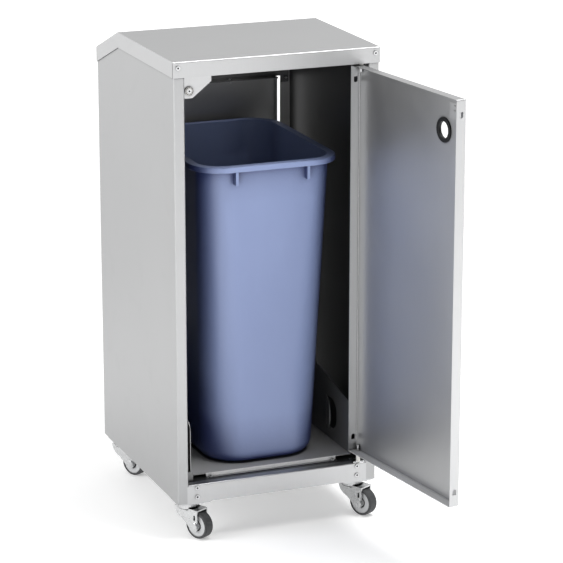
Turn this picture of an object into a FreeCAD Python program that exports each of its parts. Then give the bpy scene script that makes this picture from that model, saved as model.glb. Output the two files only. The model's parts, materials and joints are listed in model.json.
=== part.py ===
import FreeCAD, Part
import math
import os

import Sketcher

# A sheet-steel recycling cabinet on four swivel casters, with a right-hung pan door, a lid that is
# screwed on and a loose tapered wastebasket on a folded tray.
# Millimetres. The origin is on the floor under the middle of the cabinet: +X right, +Y back, +Z up.

doc = FreeCAD.newDocument("RecyclingCabinet")
sheet = doc.addObject("Spreadsheet::Sheet", "Dim")


class Size:
    """A length or an angle: its spreadsheet formula, and the value that the formula has."""

    def __init__(self, formula, value):
        self.formula = formula
        self.value = value

    def __add__(self, other):
        return join(self, "+", other)

    def __radd__(self, other):
        return join(other, "+", self)

    def __sub__(self, other):
        return join(self, "-", other)

    def __rsub__(self, other):
        return join(other, "-", self)

    def __mul__(self, other):
        return join(self, "*", other)

    def __rmul__(self, other):
        return join(other, "*", self)

    def __truediv__(self, other):
        return join(self, "/", other)

    def __neg__(self):
        return join(-1, "*", self)


ARITHMETIC = {
    "+": lambda a, b: a + b,
    "-": lambda a, b: a - b,
    "*": lambda a, b: a * b,
    "/": lambda a, b: a / b,
}


def as_size(number):
    return number if isinstance(number, Size) else Size(repr(float(number)), float(number))


def join(first, sign, second):
    a, b = as_size(first), as_size(second)
    return Size(f"({a.formula} {sign} {b.formula})", ARITHMETIC[sign](a.value, b.value))


def degrees_of_slope(rise, run):
    ratio = rise / run
    return Size(f"atan({ratio.formula})", math.degrees(math.atan(ratio.value)))


def sine(angle):
    return Size(f"sin({angle.formula})", math.sin(math.radians(angle.value)))


def cosine(angle):
    return Size(f"cos({angle.formula})", math.cos(math.radians(angle.value)))


def tangent(angle):
    return Size(f"tan({angle.formula})", math.tan(math.radians(angle.value)))


def size(name, value):
    """A driving dimension, kept in a named cell of the sheet."""
    row = size.rows = size.rows + 1
    sheet.set(f"A{row}", name)
    sheet.set(f"B{row}", str(value))
    sheet.setAlias(f"B{row}", name)
    return Size(f"Dim.{name}", float(value))


size.rows = 0

# Cabinet
cabinet_width = size("cabinet_width", 380)
cabinet_depth = size("cabinet_depth", 420)
cabinet_height = size("cabinet_height", 798)
caster_height = size("caster_height", 70)
gauge = size("gauge", 1.2)
bend_radius = size("bend_radius", 1.2)
post_width = size("post_width", 20)
post_lip = size("post_lip", 15)
rear_flange = size("rear_flange", 19.5)

# Lid
lid_flange = size("lid_flange", 28)
lid_flat_depth = size("lid_flat_depth", 296)
lid_drop = size("lid_drop", 49)
lid_clearance = size("lid_clearance", 0.2)
lid_seat = size("lid_seat", 3)
lid_corner_slit = size("lid_corner_slit", 2)
lid_corner_notch = size("lid_corner_notch", 2.4)
slot_length = size("slot_length", 290)
slot_width = size("slot_width", 78)
slot_setback = size("slot_setback", 27)
slot_corner = size("slot_corner", 12)
trim_rim = size("trim_rim", 5)
trim_wall = size("trim_wall", 2.5)
trim_lift = size("trim_lift", 1.8)

# Base pan and caster brackets
rail_height = size("rail_height", 34)
bracket_plate = size("bracket_plate", 2.5)
bracket_reach = size("bracket_reach", 64)
bracket_tab = size("bracket_tab", 30)
bracket_gauge = size("bracket_gauge", 2)
bracket_bevel = size("bracket_bevel", 5)

# Rear wall
back_slit = size("back_slit", 11)
back_lip = size("back_lip", 21)
back_side_lip = size("back_side_lip", 16)
back_below_top = size("back_below_top", 130)
back_bottom = size("back_bottom", 3)
rear_rail_below_top = size("rear_rail_below_top", 57.5)
rear_screw_below_top = size("rear_screw_below_top", 134)
rear_rail_ear = size("rear_rail_ear", 12)
rear_screw_edge = size("rear_screw_edge", 9)
back_screw_offset = size("back_screw_offset", 67)

# Door
door_side_gap = size("door_side_gap", 2)
door_top_gap = size("door_top_gap", 3)
door_foot_gap = size("door_foot_gap", 21)
door_depth = size("door_depth", 19)
door_angle = size("door_angle", 98)
hinge_edge = size("hinge_edge", 10)
hinge_face = size("hinge_face", 4)
hinge_pin_radius = size("hinge_pin_radius", 2)
hinge_pin_reach = size("hinge_pin_reach", 12)
hinge_running_gap = size("hinge_running_gap", 0.06)
hinge_plate = size("hinge_plate", 2)
hinge_spacer_radius = size("hinge_spacer_radius", 3.8)
hinge_lift = size("hinge_lift", 0.3)
access_hole_width = size("access_hole_width", 7.5)
access_hole_height = size("access_hole_height", 10.5)
access_hole_end = size("access_hole_end", 26.5)
grommet_outer_radius = size("grommet_outer_radius", 21.5)
grommet_hole_radius = size("grommet_hole_radius", 18)
grommet_bore_radius = size("grommet_bore_radius", 14.5)
grommet_flange = size("grommet_flange", 2.6)
grommet_round = size("grommet_round", 1.2)
grommet_from_edge = size("grommet_from_edge", 63)
grommet_from_top = size("grommet_from_top", 64)

# Door catch and stop
catch_from_post = size("catch_from_post", 15.5)
catch_below_fascia = size("catch_below_fascia", 28.5)
magnet_radius = size("magnet_radius", 8)
magnet_thickness = size("magnet_thickness", 3)
magnet_round = size("magnet_round", 0.5)
magnet_rim = size("magnet_rim", 1)
magnet_groove = size("magnet_groove", 1.2)
magnet_groove_depth = size("magnet_groove_depth", 1.2)
catch_gap = size("catch_gap", 0.3)
gusset_width = size("gusset_width", 56.5)
gusset_drop = size("gusset_drop", 41.5)
gusset_heel = size("gusset_heel", 14)
gusset_foot = size("gusset_foot", 22)
strike_width = size("strike_width", 19)
strike_height = size("strike_height", 27.5)
strike_hole_radius = size("strike_hole_radius", 1.6)
strike_hole_inset = size("strike_hole_inset", 3.5)
strike_hole_drop = size("strike_hole_drop", 4.5)
strike_hole_pitch = size("strike_hole_pitch", 8)
stop_width = size("stop_width", 15.5)
stop_height = size("stop_height", 18)
stop_foot = size("stop_foot", 12)
stop_round = size("stop_round", 5.5)

# Tray
tray_width = size("tray_width", 310)
tray_front = size("tray_front", 32)
tray_rear = size("tray_rear", 40)
tray_lift = size("tray_lift", 6)
tray_lip_inset = size("tray_lip_inset", 30)
tray_foot = size("tray_foot", 8)
wing_height = size("wing_height", 96)
wing_rise = size("wing_rise", 66)
wing_corner = size("wing_corner", 18)
tab_setback = size("tab_setback", 65)
tab_length = size("tab_length", 48)
tab_height = size("tab_height", 56)
tab_floor = size("tab_floor", 22.5)
tab_swing = size("tab_swing", 13)
tab_corner = size("tab_corner", 24)
tab_relief = size("tab_relief", 1)
tray_screw_inset = size("tray_screw_inset", 7)

# Wastebasket
bin_width = size("bin_width", 274)
bin_headroom = size("bin_headroom", 68)
bin_setback = size("bin_setback", 20)
bin_rear_gap = size("bin_rear_gap", 34)
bin_corner = size("bin_corner", 60)
bin_foot_corner = size("bin_foot_corner", 70)
bin_draft = size("bin_draft", 1.85)
bin_wall = size("bin_wall", 2.2)
bin_floor = size("bin_floor", 3)
bin_foot_radius = size("bin_foot_radius", 22)
rim_overhang = size("rim_overhang", 13)
rim_height = size("rim_height", 10)
rim_round = size("rim_round", 1.6)
rib_offset = size("rib_offset", 67)
rib_height = size("rib_height", 23.5)
rib_gauge = size("rib_gauge", 5)

# Casters
caster_side = size("caster_side", 31)
caster_end = size("caster_end", 32)
caster_turn = size("caster_turn", -62)
caster_trail = size("caster_trail", 26)
wheel_radius = size("wheel_radius", 25)
tyre_width = size("tyre_width", 20)
tyre_round = size("tyre_round", 3.5)
core_radius = size("core_radius", 21)
core_width = size("core_width", 17)
core_groove = size("core_groove", 3)
core_groove_width = size("core_groove_width", 2.6)
hub_radius = size("hub_radius", 8)
hub_width = size("hub_width", 22.4)
axle_radius = size("axle_radius", 4)
axle_head_radius = size("axle_head_radius", 6.5)
axle_head = size("axle_head", 2.2)
axle_head_round = size("axle_head_round", 1.1)
running_gap = size("running_gap", 0.06)
plate_length = size("plate_length", 56)
plate_width = size("plate_width", 46)
plate_gauge = size("plate_gauge", 2.5)
plate_corner = size("plate_corner", 6)
plate_bolt_x = size("plate_bolt_x", 20)
plate_bolt_y = size("plate_bolt_y", 15)
upper_race_radius = size("upper_race_radius", 19.5)
upper_race_depth = size("upper_race_depth", 3)
race_gap = size("race_gap", 0.5)
lower_race_radius = size("lower_race_radius", 18.5)
king_pin_radius = size("king_pin_radius", 5)
king_pin_head_radius = size("king_pin_head_radius", 8)
king_pin_head = size("king_pin_head", 3)
king_pin_round = size("king_pin_round", 1)
king_pin_rivet = size("king_pin_rivet", 1.5)
fork_crown = size("fork_crown", 2.5)
fork_crown_gap = size("fork_crown_gap", 2.5)
fork_gauge = size("fork_gauge", 2.5)
fork_side_gap = size("fork_side_gap", 0.4)
fork_nose = size("fork_nose", 21)
fork_nose_drop = size("fork_nose_drop", 22)
fork_nose_radius = size("fork_nose_radius", 27)
fork_web = size("fork_web", 2)
fork_leg_lead = size("fork_leg_lead", 2)
fork_leg_trail = size("fork_leg_trail", 6.5)
fork_toe = size("fork_toe", 10)
fork_slot_height = size("fork_slot_height", 10)
fork_slot_half = size("fork_slot_half", 2.1)
fork_slot_corner = size("fork_slot_corner", 1.9)
fork_slot_lift = size("fork_slot_lift", 15)

# Fasteners
screw_radius = size("screw_radius", 2)
screw_head_radius = size("screw_head_radius", 3.8)
screw_head = size("screw_head", 2)
screw_length = size("screw_length", 7)
socket_radius = size("socket_radius", 1.9)
socket_depth = size("socket_depth", 1.5)
screw_hole_clearance = size("screw_hole_clearance", 0.1)
lid_screw_edge = size("lid_screw_edge", 7.5)
lid_screw_below = size("lid_screw_below", 10.5)
base_screw_edge = size("base_screw_edge", 36)
base_screw_low = size("base_screw_low", 11)
base_screw_pitch = size("base_screw_pitch", 17)
bolt_radius = size("bolt_radius", 2.5)
bolt_head_radius = size("bolt_head_radius", 4.4)
bolt_head = size("bolt_head", 3.5)
bolt_spare = size("bolt_spare", 6)
nut_height = size("nut_height", 4)

doc.recompute()

# Places that several pieces share
front = -cabinet_depth / 2
back = cabinet_depth / 2
base_z = caster_height
top_z = base_z + cabinet_height
floor_z = base_z + rail_height
outer_bend = bend_radius + gauge
rail_end_z = floor_z - outer_bend
opening_half = cabinet_width / 2 - post_width
inner_half = cabinet_width / 2 - gauge
lid_half = cabinet_width / 2 + gauge + lid_clearance
lid_front = front - gauge - lid_clearance
lid_back = back + gauge + lid_clearance
ridge_y = lid_front + lid_flat_depth
lid_slope = degrees_of_slope(lid_drop, lid_back - ridge_y)
panel_top = top_z - gauge - lid_seat
fascia_z = top_z - lid_flange
door_z0 = floor_z + door_foot_gap
door_z1 = fascia_z - door_top_gap
door_width = 2 * (opening_half - door_side_gap)
hinge_x = opening_half - door_side_gap - hinge_edge
hinge_y = front + hinge_face
hinge_plate_z = door_z1 + door_top_gap
door_rear = front + door_depth
tray_z = floor_z + tray_lift + gauge
bin_length = cabinet_depth - bin_setback - bin_rear_gap
back_top_z = top_z - back_below_top
bin_height = back_top_z - tray_z - bin_headroom
rear_screw_z = top_z - rear_screw_below_top
lid_screw_z = top_z - lid_screw_below
catch_x = -opening_half + catch_from_post
catch_z = fascia_z - catch_below_fascia
gusset_y = door_rear + catch_gap + magnet_thickness
caster_x = cabinet_width / 2 - caster_side
caster_y = cabinet_depth / 2 - caster_end
bracket_z = base_z - bracket_plate
plate_z = bracket_z - plate_gauge
crown_z = 2 * wheel_radius + fork_crown_gap + fork_crown
fork_inner_half = hub_width / 2 + fork_side_gap
fork_outer_half = fork_inner_half + fork_gauge
screw_hole = screw_radius + screw_hole_clearance

BEYOND = 5
EDGE_TOLERANCE = 1e-4


def new_body(label):
    body = doc.addObject("PartDesign::Body", label)
    body.Label = label
    return body


def circle(x, y, radius):
    return ("circle", as_size(x), as_size(y), as_size(radius))


def rectangle(x0, y0, x1, y1):
    return [(x0, y0), (x1, y0), (x1, y1), (x0, y1)]


def arc(x, y, radius):
    """A corner point whose edge to the next point is an arc, anticlockwise for a positive radius."""
    return (x, y, radius)


def rounded_rectangle(cx, cy, half_x, half_y, radius):
    x0, x1, y0, y1 = cx - half_x, cx + half_x, cy - half_y, cy + half_y
    return [
        (x0 + radius, y0),
        arc(x1 - radius, y0, radius),
        (x1, y0 + radius),
        arc(x1, y1 - radius, radius),
        (x1 - radius, y1),
        arc(x0 + radius, y1, radius),
        (x0, y1 - radius),
        arc(x0, y0 + radius, radius),
    ]


def place_point(sketch, geometry, end, x, y):
    """Ties a point of the sketch to its two coordinates."""
    for kind, where in (("DistanceX", as_size(x)), ("DistanceY", as_size(y))):
        tied = sketch.addConstraint(Sketcher.Constraint(kind, -1, 1, geometry, end, where.value))
        sketch.setExpression(f"Constraints[{tied}]", where.formula)


def tie_radius(sketch, geometry, radius):
    tied = sketch.addConstraint(Sketcher.Constraint("Radius", geometry, radius.value))
    sketch.setExpression(f"Constraints[{tied}]", radius.formula)


def draw_circle(sketch, outline):
    kind, x, y, radius = outline
    centre = FreeCAD.Vector(x.value, y.value, 0)
    drawn = sketch.addGeometry(Part.Circle(centre, FreeCAD.Vector(0, 0, 1), radius.value))
    place_point(sketch, drawn, 3, x, y)
    tie_radius(sketch, drawn, radius)


def arc_between(start, end, radius):
    """The short arc from start to end, as a curve that always runs anticlockwise."""
    chord = end - start
    middle = (start + end) * 0.5
    height = math.sqrt(max(radius * radius - chord.Length ** 2 / 4, 0))
    across = FreeCAD.Vector(-chord.y, chord.x, 0).normalize()
    centre = middle + across * math.copysign(height, radius)
    first, last = (start, end) if radius > 0 else (end, start)
    turns = [math.atan2(p.y - centre.y, p.x - centre.x) for p in (first, last)]
    ring = Part.Circle(centre, FreeCAD.Vector(0, 0, 1), abs(radius))
    return Part.ArcOfCircle(ring, turns[0], turns[1])


def draw_loop(sketch, points):
    """A closed outline of lines and arcs through the points."""
    corners = [FreeCAD.Vector(as_size(p[0]).value, as_size(p[1]).value, 0) for p in points]
    ends = []
    for i, point in enumerate(points):
        start, end = corners[i], corners[(i + 1) % len(points)]
        if len(point) == 2:
            drawn = sketch.addGeometry(Part.LineSegment(start, end))
            ends.append((drawn, 1, 2))
            continue
        radius = as_size(point[2])
        drawn = sketch.addGeometry(arc_between(start, end, radius.value))
        ends.append((drawn, 1, 2) if radius.value > 0 else (drawn, 2, 1))
    for i, point in enumerate(points):
        before, here = ends[i - 1], ends[i]
        sketch.addConstraint(Sketcher.Constraint("Coincident", before[0], before[2], here[0], here[1]))
        place_point(sketch, here[0], here[1], point[0], point[1])
        if len(point) == 3:
            radius = as_size(point[2])
            tie_radius(sketch, here[0], radius if radius.value > 0 else -radius)


def draw(body, plane, level, outlines):
    """A sketch parallel to one of the body's own planes: XY seen from above, XZ from the front, YZ."""
    sketch = body.newObject("Sketcher::SketchObject", "Sketch")
    role = f"{plane}_Plane"
    support = [f for f in body.Origin.OriginFeatures if f.Role == role][0]
    sketch.AttachmentSupport = [(support, "")]
    sketch.MapMode = "FlatFace"
    along_normal = -level if plane == "XZ" else as_size(level)
    sketch.setExpression("AttachmentOffset.Base.z", along_normal.formula)
    for outline in outlines:
        if outline[0] == "circle":
            draw_circle(sketch, outline)
        else:
            draw_loop(sketch, outline)
    return sketch


def pad(body, plane, low, high, *outlines):
    """Adds the outlines' prism between two levels along the plane's third axis."""
    level = high if plane == "XZ" else low
    feature = body.newObject("PartDesign::Pad", "Pad")
    feature.Profile = draw(body, plane, as_size(level), outlines)
    feature.setExpression("Length", (as_size(high) - low).formula)
    return feature


def loft(body, low, high, foot, top):
    """Adds the solid that changes evenly from the outline foot to the outline top above it."""
    feature = body.newObject("PartDesign::AdditiveLoft", "Loft")
    feature.Profile = draw(body, "XY", as_size(low), [foot])
    feature.Sections = [draw(body, "XY", as_size(high), [top])]
    feature.Ruled = True
    return feature


def pocket(body, plane, low, high, *outlines):
    """Cuts the outlines' prism between two levels along the plane's third axis."""
    doc.recompute()
    before = body.Shape.Volume
    level = low if plane == "XZ" else high
    feature = body.newObject("PartDesign::Pocket", "Pocket")
    feature.Profile = draw(body, plane, as_size(level), outlines)
    feature.setExpression("Length", (as_size(high) - low).formula)
    doc.recompute()
    if not body.Shape.Volume < before:
        raise RuntimeError(f"a cut missed {body.Label}")
    return feature


def lies_at(edge, place):
    """True where every end of the edge has the stated coordinates."""
    return all(
        abs(getattr(vertex.Point, axis) - as_size(value).value) < EDGE_TOLERANCE
        for vertex in edge.Vertexes
        for axis, value in place.items()
    )


def soften(body, radius, *places):
    """Rounds the edges that lie at the places, such as dict(x=..., y=...)."""
    doc.recompute()
    edges = body.Shape.Edges
    chosen = [f"Edge{i}" for i, e in enumerate(edges, 1) if any(lies_at(e, p) for p in places)]
    if not chosen:
        raise RuntimeError(f"no edge to round on {body.Label}")
    base = body.Tip
    feature = body.newObject("PartDesign::Fillet", "Fillet")
    feature.Base = (base, chosen)
    feature.setExpression("Radius", as_size(radius).formula)
    return feature


def stand(body, x, y, turn=None):
    """Moves a body, drawn about its own axis, to where it stands, and turns it about that axis."""
    body.setExpression("Placement.Base.x", as_size(x).formula)
    body.setExpression("Placement.Base.y", as_size(y).formula)
    if turn is not None:
        upright = FreeCAD.Rotation(FreeCAD.Vector(0, 0, 1), 1)
        body.Placement = FreeCAD.Placement(body.Placement.Base, upright)
        body.setExpression("Placement.Rotation.Angle", turn.formula)


def ordered(a, b):
    a, b = as_size(a), as_size(b)
    return (a, b) if a.value < b.value else (b, a)


def side_panel(label, side):
    """One folded side: web, front post with its inner lip, rear flange, top cut to the lid's slope.

    The post's fold stops above its foot, where the floor pan's rail meets the post's face flush.
    """
    body = new_body(label)
    outer = side * cabinet_width / 2
    inner = side * inner_half
    post = side * opening_half
    lip = post + side * gauge
    rear = outer - side * rear_flange
    plan = [
        (post, front),
        (outer, front),
        (outer, back),
        (rear, back),
        (rear, back - gauge),
        (inner, back - gauge),
        (inner, front + gauge),
        (lip, front + gauge),
        (lip, front + post_lip),
        (post, front + post_lip),
    ]
    pad(body, "XY", base_z, panel_top, plan)
    x0, x1 = ordered(outer, post)
    above_slope = [
        (ridge_y, panel_top),
        (lid_back, panel_top - lid_drop),
        (lid_back, panel_top + BEYOND),
        (ridge_y, panel_top + BEYOND),
    ]
    pocket(body, "YZ", x0, x1, above_slope)
    soften(body, outer_bend, dict(x=outer, y=front), dict(x=outer, y=back), dict(x=post, y=front))
    soften(
        body,
        bend_radius,
        dict(x=inner, y=front + gauge),
        dict(x=inner, y=back - gauge),
        dict(x=lip, y=front + gauge),
    )
    pocket(body, "XZ", front, front + gauge, circle(outer - side * lid_screw_edge, lid_screw_z, screw_hole))
    rear_hole = circle(outer - side * rear_screw_edge, rear_screw_z, screw_hole)
    pocket(body, "XZ", back - gauge, back, rear_hole)
    x0, x1 = ordered(post, post + side * outer_bend)
    pocket(body, "XY", base_z, rail_end_z, rectangle(x0, front, x1, front + post_lip))
    return body


def slope_frame(body, level):
    """A sketch plane at a level over the lid's rear slope, its Y running down from the ridge."""
    sketch = body.newObject("Sketcher::SketchObject", "SlopeSketch")
    support = [f for f in body.Origin.OriginFeatures if f.Role == "XY_Plane"][0]
    sketch.AttachmentSupport = [(support, "")]
    sketch.MapMode = "FlatFace"
    tilt = FreeCAD.Rotation(FreeCAD.Vector(-1, 0, 0), 1)
    sketch.AttachmentOffset = FreeCAD.Placement(FreeCAD.Vector(), tilt)
    sketch.setExpression("AttachmentOffset.Base.y", (ridge_y + level * sine(lid_slope)).formula)
    sketch.setExpression("AttachmentOffset.Base.z", (top_z + level * cosine(lid_slope)).formula)
    sketch.setExpression("AttachmentOffset.Rotation.Angle", lid_slope.formula)
    return sketch


def slot_outline(grow):
    return rounded_rectangle(
        as_size(0),
        slot_setback + slot_width / 2,
        slot_length / 2 + grow,
        slot_width / 2 + grow,
        slot_corner + grow,
    )


def lid():
    """The cap: flat top, rear slope with the paper slot, flanges all round, slit front corners."""
    body = new_body("lid")
    foot = top_z - lid_drop - lid_flange - BEYOND
    profile = [
        (lid_front, fascia_z),
        (lid_front, top_z),
        (ridge_y, top_z),
        (lid_back, top_z - lid_drop),
        (lid_back, fascia_z - lid_drop),
        (ridge_y, fascia_z),
    ]
    pad(body, "YZ", -lid_half, lid_half, profile)
    soften(
        body,
        outer_bend,
        dict(y=lid_front, z=top_z),
        dict(y=ridge_y, z=top_z),
        dict(y=lid_back, z=top_z - lid_drop),
    )
    hollow = [
        (lid_front + gauge, foot),
        (lid_front + gauge, top_z - gauge),
        (ridge_y - gauge * tangent(lid_slope / 2), top_z - gauge),
        (lid_back - gauge, top_z - lid_drop + gauge * tangent(lid_slope) - gauge / cosine(lid_slope)),
        (lid_back - gauge, foot),
    ]
    pocket(body, "YZ", gauge - lid_half, lid_half - gauge, hollow)
    for side in (-1, 1):
        x0, x1 = ordered(side * lid_half, side * (lid_half - gauge))
        slit_y = lid_front + gauge
        slit = rectangle(slit_y, fascia_z - BEYOND, slit_y + lid_corner_slit, top_z - outer_bend)
        pocket(body, "YZ", x0, x1, slit)
        pocket(body, "YZ", x0, x1, circle(slit_y + lid_corner_slit / 2, fascia_z, lid_corner_notch))
        x = side * (cabinet_width / 2 - lid_screw_edge)
        pocket(body, "XZ", lid_front, lid_front + gauge, circle(x, lid_screw_z, screw_hole))
    cut = body.newObject("PartDesign::Pocket", "PaperSlot")
    cut.Profile = slope_frame(body, as_size(0))
    draw_loop(cut.Profile[0], slot_outline(as_size(0)))
    cut.setExpression("Length", (2 * gauge).formula)
    doc.recompute()
    return body


def slot_trim():
    """The black edging that grips the sheet all round the paper slot."""
    body = new_body("deposit_slot_trim")
    layers = (
        (as_size(0), trim_lift, trim_rim),
        (-gauge, gauge, as_size(0)),
        (-gauge - trim_lift, trim_lift, trim_rim),
    )
    for low, thickness, reach in layers:
        feature = body.newObject("PartDesign::Pad", "TrimLayer")
        sketch = slope_frame(body, low)
        draw_loop(sketch, slot_outline(reach))
        draw_loop(sketch, slot_outline(-trim_wall))
        feature.Profile = sketch
        feature.setExpression("Length", thickness.formula)
    doc.recompute()
    return body


def base_screw_places(sides=(-1, 1)):
    """The screws through the pan's front and rear rails, two above each other near each corner."""
    x = cabinet_width / 2 - base_screw_edge
    rows = [base_z + base_screw_low + step * base_screw_pitch for step in (0, 1)]
    return [(side * x, z) for side in sides for z in rows]


def tray_screw_places():
    x = tray_width / 2 - tray_lip_inset - tray_screw_inset
    return [(side * x, front + tray_front - tray_foot / 2) for side in (-1, 1)]


def tray_screw_holes():
    return [circle(x, y, screw_hole) for x, y in tray_screw_places()]


def bolt_places(x, y):
    """The four bolts of the caster whose swivel axis is at x, y."""
    return [(x + i * plate_bolt_x, y + j * plate_bolt_y) for i in (-1, 1) for j in (-1, 1)]


def base_pan():
    """The inverted floor pan: floor, front rail between the posts, side and rear flanges."""
    body = new_body("base_pan")
    behind_post = front + post_lip
    rear = back - gauge
    plan = [
        (-opening_half, front),
        (opening_half, front),
        (opening_half, behind_post),
        (inner_half, behind_post),
        (inner_half, rear),
        (-inner_half, rear),
        (-inner_half, behind_post),
        (-opening_half, behind_post),
    ]
    pad(body, "XY", floor_z - gauge, floor_z, plan)
    pad(body, "XZ", front, front + gauge, rectangle(-opening_half, base_z, opening_half, floor_z))
    rail_half = opening_half + outer_bend
    pad(body, "XZ", front, front + gauge, rectangle(-rail_half, base_z, rail_half, rail_end_z))
    pad(body, "XZ", rear - gauge, rear, rectangle(-inner_half, base_z, inner_half, floor_z))
    for side in (-1, 1):
        x0, x1 = ordered(side * inner_half, side * (inner_half - gauge))
        pad(body, "YZ", x0, x1, rectangle(behind_post, base_z, rear, floor_z))
    soften(body, outer_bend, dict(y=front, z=floor_z))
    soften(body, outer_bend, dict(y=rear, z=floor_z))
    soften(body, outer_bend, dict(x=inner_half, y=rear), dict(x=-inner_half, y=rear))
    for end in (front, rear - gauge):
        holes = [circle(x, z, screw_hole) for x, z in base_screw_places()]
        pocket(body, "XZ", end, end + gauge, *holes)
    pocket(body, "XY", floor_z - gauge, floor_z, *tray_screw_holes())
    return body


def caster_bracket(label, side, end):
    """A corner bracket: the plate that the caster bolts to, and tabs up inside the rail and the side."""
    body = new_body(label)
    outer = side * cabinet_width / 2
    reach = outer - side * bracket_reach
    profile = [
        (outer, base_z),
        (outer - side * 2 * bracket_bevel, bracket_z),
        (reach + side * bracket_bevel, bracket_z),
        (reach, base_z),
    ]
    y0, y1 = ordered(end * cabinet_depth / 2, end * (cabinet_depth / 2 - bracket_reach))
    pad(body, "XZ", y0, y1, profile)
    rail_face = end * (cabinet_depth / 2 - gauge) if end < 0 else back - 2 * gauge
    tab_outer = side * (opening_half - bracket_gauge)
    t0, t1 = ordered(rail_face, rail_face - end * bracket_gauge)
    x0, x1 = ordered(tab_outer, reach)
    pad(body, "XZ", t0, t1, rectangle(x0, base_z - bracket_plate / 2, x1, base_z + bracket_tab))
    side_face = side * (inner_half - gauge)
    s0, s1 = ordered(side_face, side_face - side * bracket_gauge)
    inboard = end * (cabinet_depth / 2 - bracket_reach)
    w0, w1 = ordered(end * (cabinet_depth / 2 - post_lip - bracket_gauge), inboard)
    pad(body, "YZ", s0, s1, rectangle(w0, base_z - bracket_plate / 2, w1, base_z + bracket_tab))
    screws = [circle(x, z, screw_hole) for x, z in base_screw_places((side,))]
    pocket(body, "XZ", t0, t1, *screws)
    x, y = side * caster_x, end * caster_y
    bolts = [circle(*place, bolt_radius + running_gap) for place in bolt_places(x, y)]
    pocket(body, "XY", bracket_z, base_z, circle(x, y, king_pin_radius + running_gap), *bolts)
    return body


def back_panel():
    """The rear sheet, with lips folded in along its sides and its top."""
    body = new_body("back_panel")
    half = opening_half - back_slit
    z0 = base_z + back_bottom
    z1 = back_top_z
    pad(body, "XZ", back - gauge, back, rectangle(-half, z0, half, z1))
    for side in (-1, 1):
        x0, x1 = ordered(side * half, side * (half - gauge))
        pad(body, "YZ", x0, x1, rectangle(back - back_side_lip, floor_z + BEYOND, back, z1))
    pad(body, "XY", z1 - gauge, z1, rectangle(-half, back - back_lip, half, back))
    soften(body, outer_bend, dict(y=back, z=z1))
    lip_middle = back - back_lip / 2
    holes = [circle(side * back_screw_offset, lip_middle, screw_hole) for side in (-1, 1)]
    pocket(body, "XY", z1 - gauge, z1, *holes)
    holes = [circle(x, z, screw_hole) for x, z in base_screw_places()]
    pocket(body, "XZ", back - gauge, back, *holes)
    return body


def rear_top_rail():
    """The angle that ties the two sides together above the rear sheet, with an ear for each end's screw."""
    body = new_body("rear_top_rail")
    web = back - gauge
    z0 = back_top_z
    half = inner_half - outer_bend
    pad(body, "XZ", web - gauge, web, rectangle(-half, z0, half, top_z - rear_rail_below_top))
    ear_x = cabinet_width / 2 - rear_flange
    for side in (-1, 1):
        x0, x1 = ordered(side * ear_x, side * half)
        pad(body, "XZ", web - gauge, web, rectangle(x0, z0 - rear_rail_ear, x1, z0 + gauge))
    foot_half = opening_half - back_slit
    pad(body, "XY", z0, z0 + gauge, rectangle(-foot_half, back - back_lip, foot_half, web))
    holes = [circle(side * back_screw_offset, back - back_lip / 2, screw_hole) for side in (-1, 1)]
    pocket(body, "XY", z0, z0 + gauge, *holes)
    x = cabinet_width / 2 - rear_screw_edge
    holes = [circle(side * x, rear_screw_z, screw_hole) for side in (-1, 1)]
    pocket(body, "XZ", web - gauge, web, *holes)
    return body


def door_panel():
    """The door, drawn shut about its hinge axis: a pan with the finger hole and four access holes."""
    body = new_body("door_panel")
    x0, x1 = hinge_edge - door_width, hinge_edge
    y0, y1 = -hinge_face, door_depth - hinge_face
    pad(body, "XZ", y0, y1, rectangle(x0, door_z0, x1, door_z1))
    corners = [dict(x=x, z=z) for x in (x0, x1) for z in (door_z0, door_z1)]
    soften(body, outer_bend, *corners)
    soften(body, outer_bend, dict(y=y0))
    inside = rectangle(x0 + gauge, door_z0 + gauge, x1 - gauge, door_z1 - gauge)
    pocket(body, "XZ", y0 + gauge, y1, inside)
    soften(body, bend_radius, dict(y=y0 + gauge))
    middle = y0 + door_depth / 2
    half = access_hole_width / 2
    for z, up in ((door_z1 - access_hole_end, 1), (door_z0 + access_hole_end, -1)):
        flat = z + up * access_hole_height / 2
        spring = z - up * (access_hole_height / 2 - half)
        hole = [
            (middle - half, flat),
            (middle + half, flat),
            arc(middle + half, spring, -up * half),
            arc(middle, spring - up * half, -up * half),
            (middle - half, spring),
        ]
        pocket(body, "YZ", x0 - BEYOND, x1 + BEYOND, hole)
    finger_hole = circle(x0 + grommet_from_edge, door_z1 - grommet_from_top, grommet_hole_radius)
    pocket(body, "XZ", y0, y0 + gauge, finger_hole)
    pin_hole = circle(0, 0, hinge_pin_radius + hinge_running_gap)
    pocket(body, "XY", door_z0, door_z1, pin_hole)
    stand(body, hinge_x, hinge_y, door_angle)
    return body


def door_grommet():
    """The rubber-like finger ring: two flanges that hold the door sheet between them."""
    body = new_body("door_grommet")
    x = hinge_edge - door_width + grommet_from_edge
    z = door_z1 - grommet_from_top
    face = -hinge_face
    bore = circle(x, z, grommet_bore_radius)
    flange = circle(x, z, grommet_outer_radius)
    pad(body, "XZ", face - grommet_flange, face, flange, bore)
    pad(body, "XZ", face, face + gauge, circle(x, z, grommet_hole_radius), bore)
    pad(body, "XZ", face + gauge, face + gauge + grommet_flange, flange, bore)
    soften(body, grommet_round, dict(y=face - grommet_flange), dict(y=face + gauge + grommet_flange))
    stand(body, hinge_x, hinge_y, door_angle)
    return body


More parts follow.
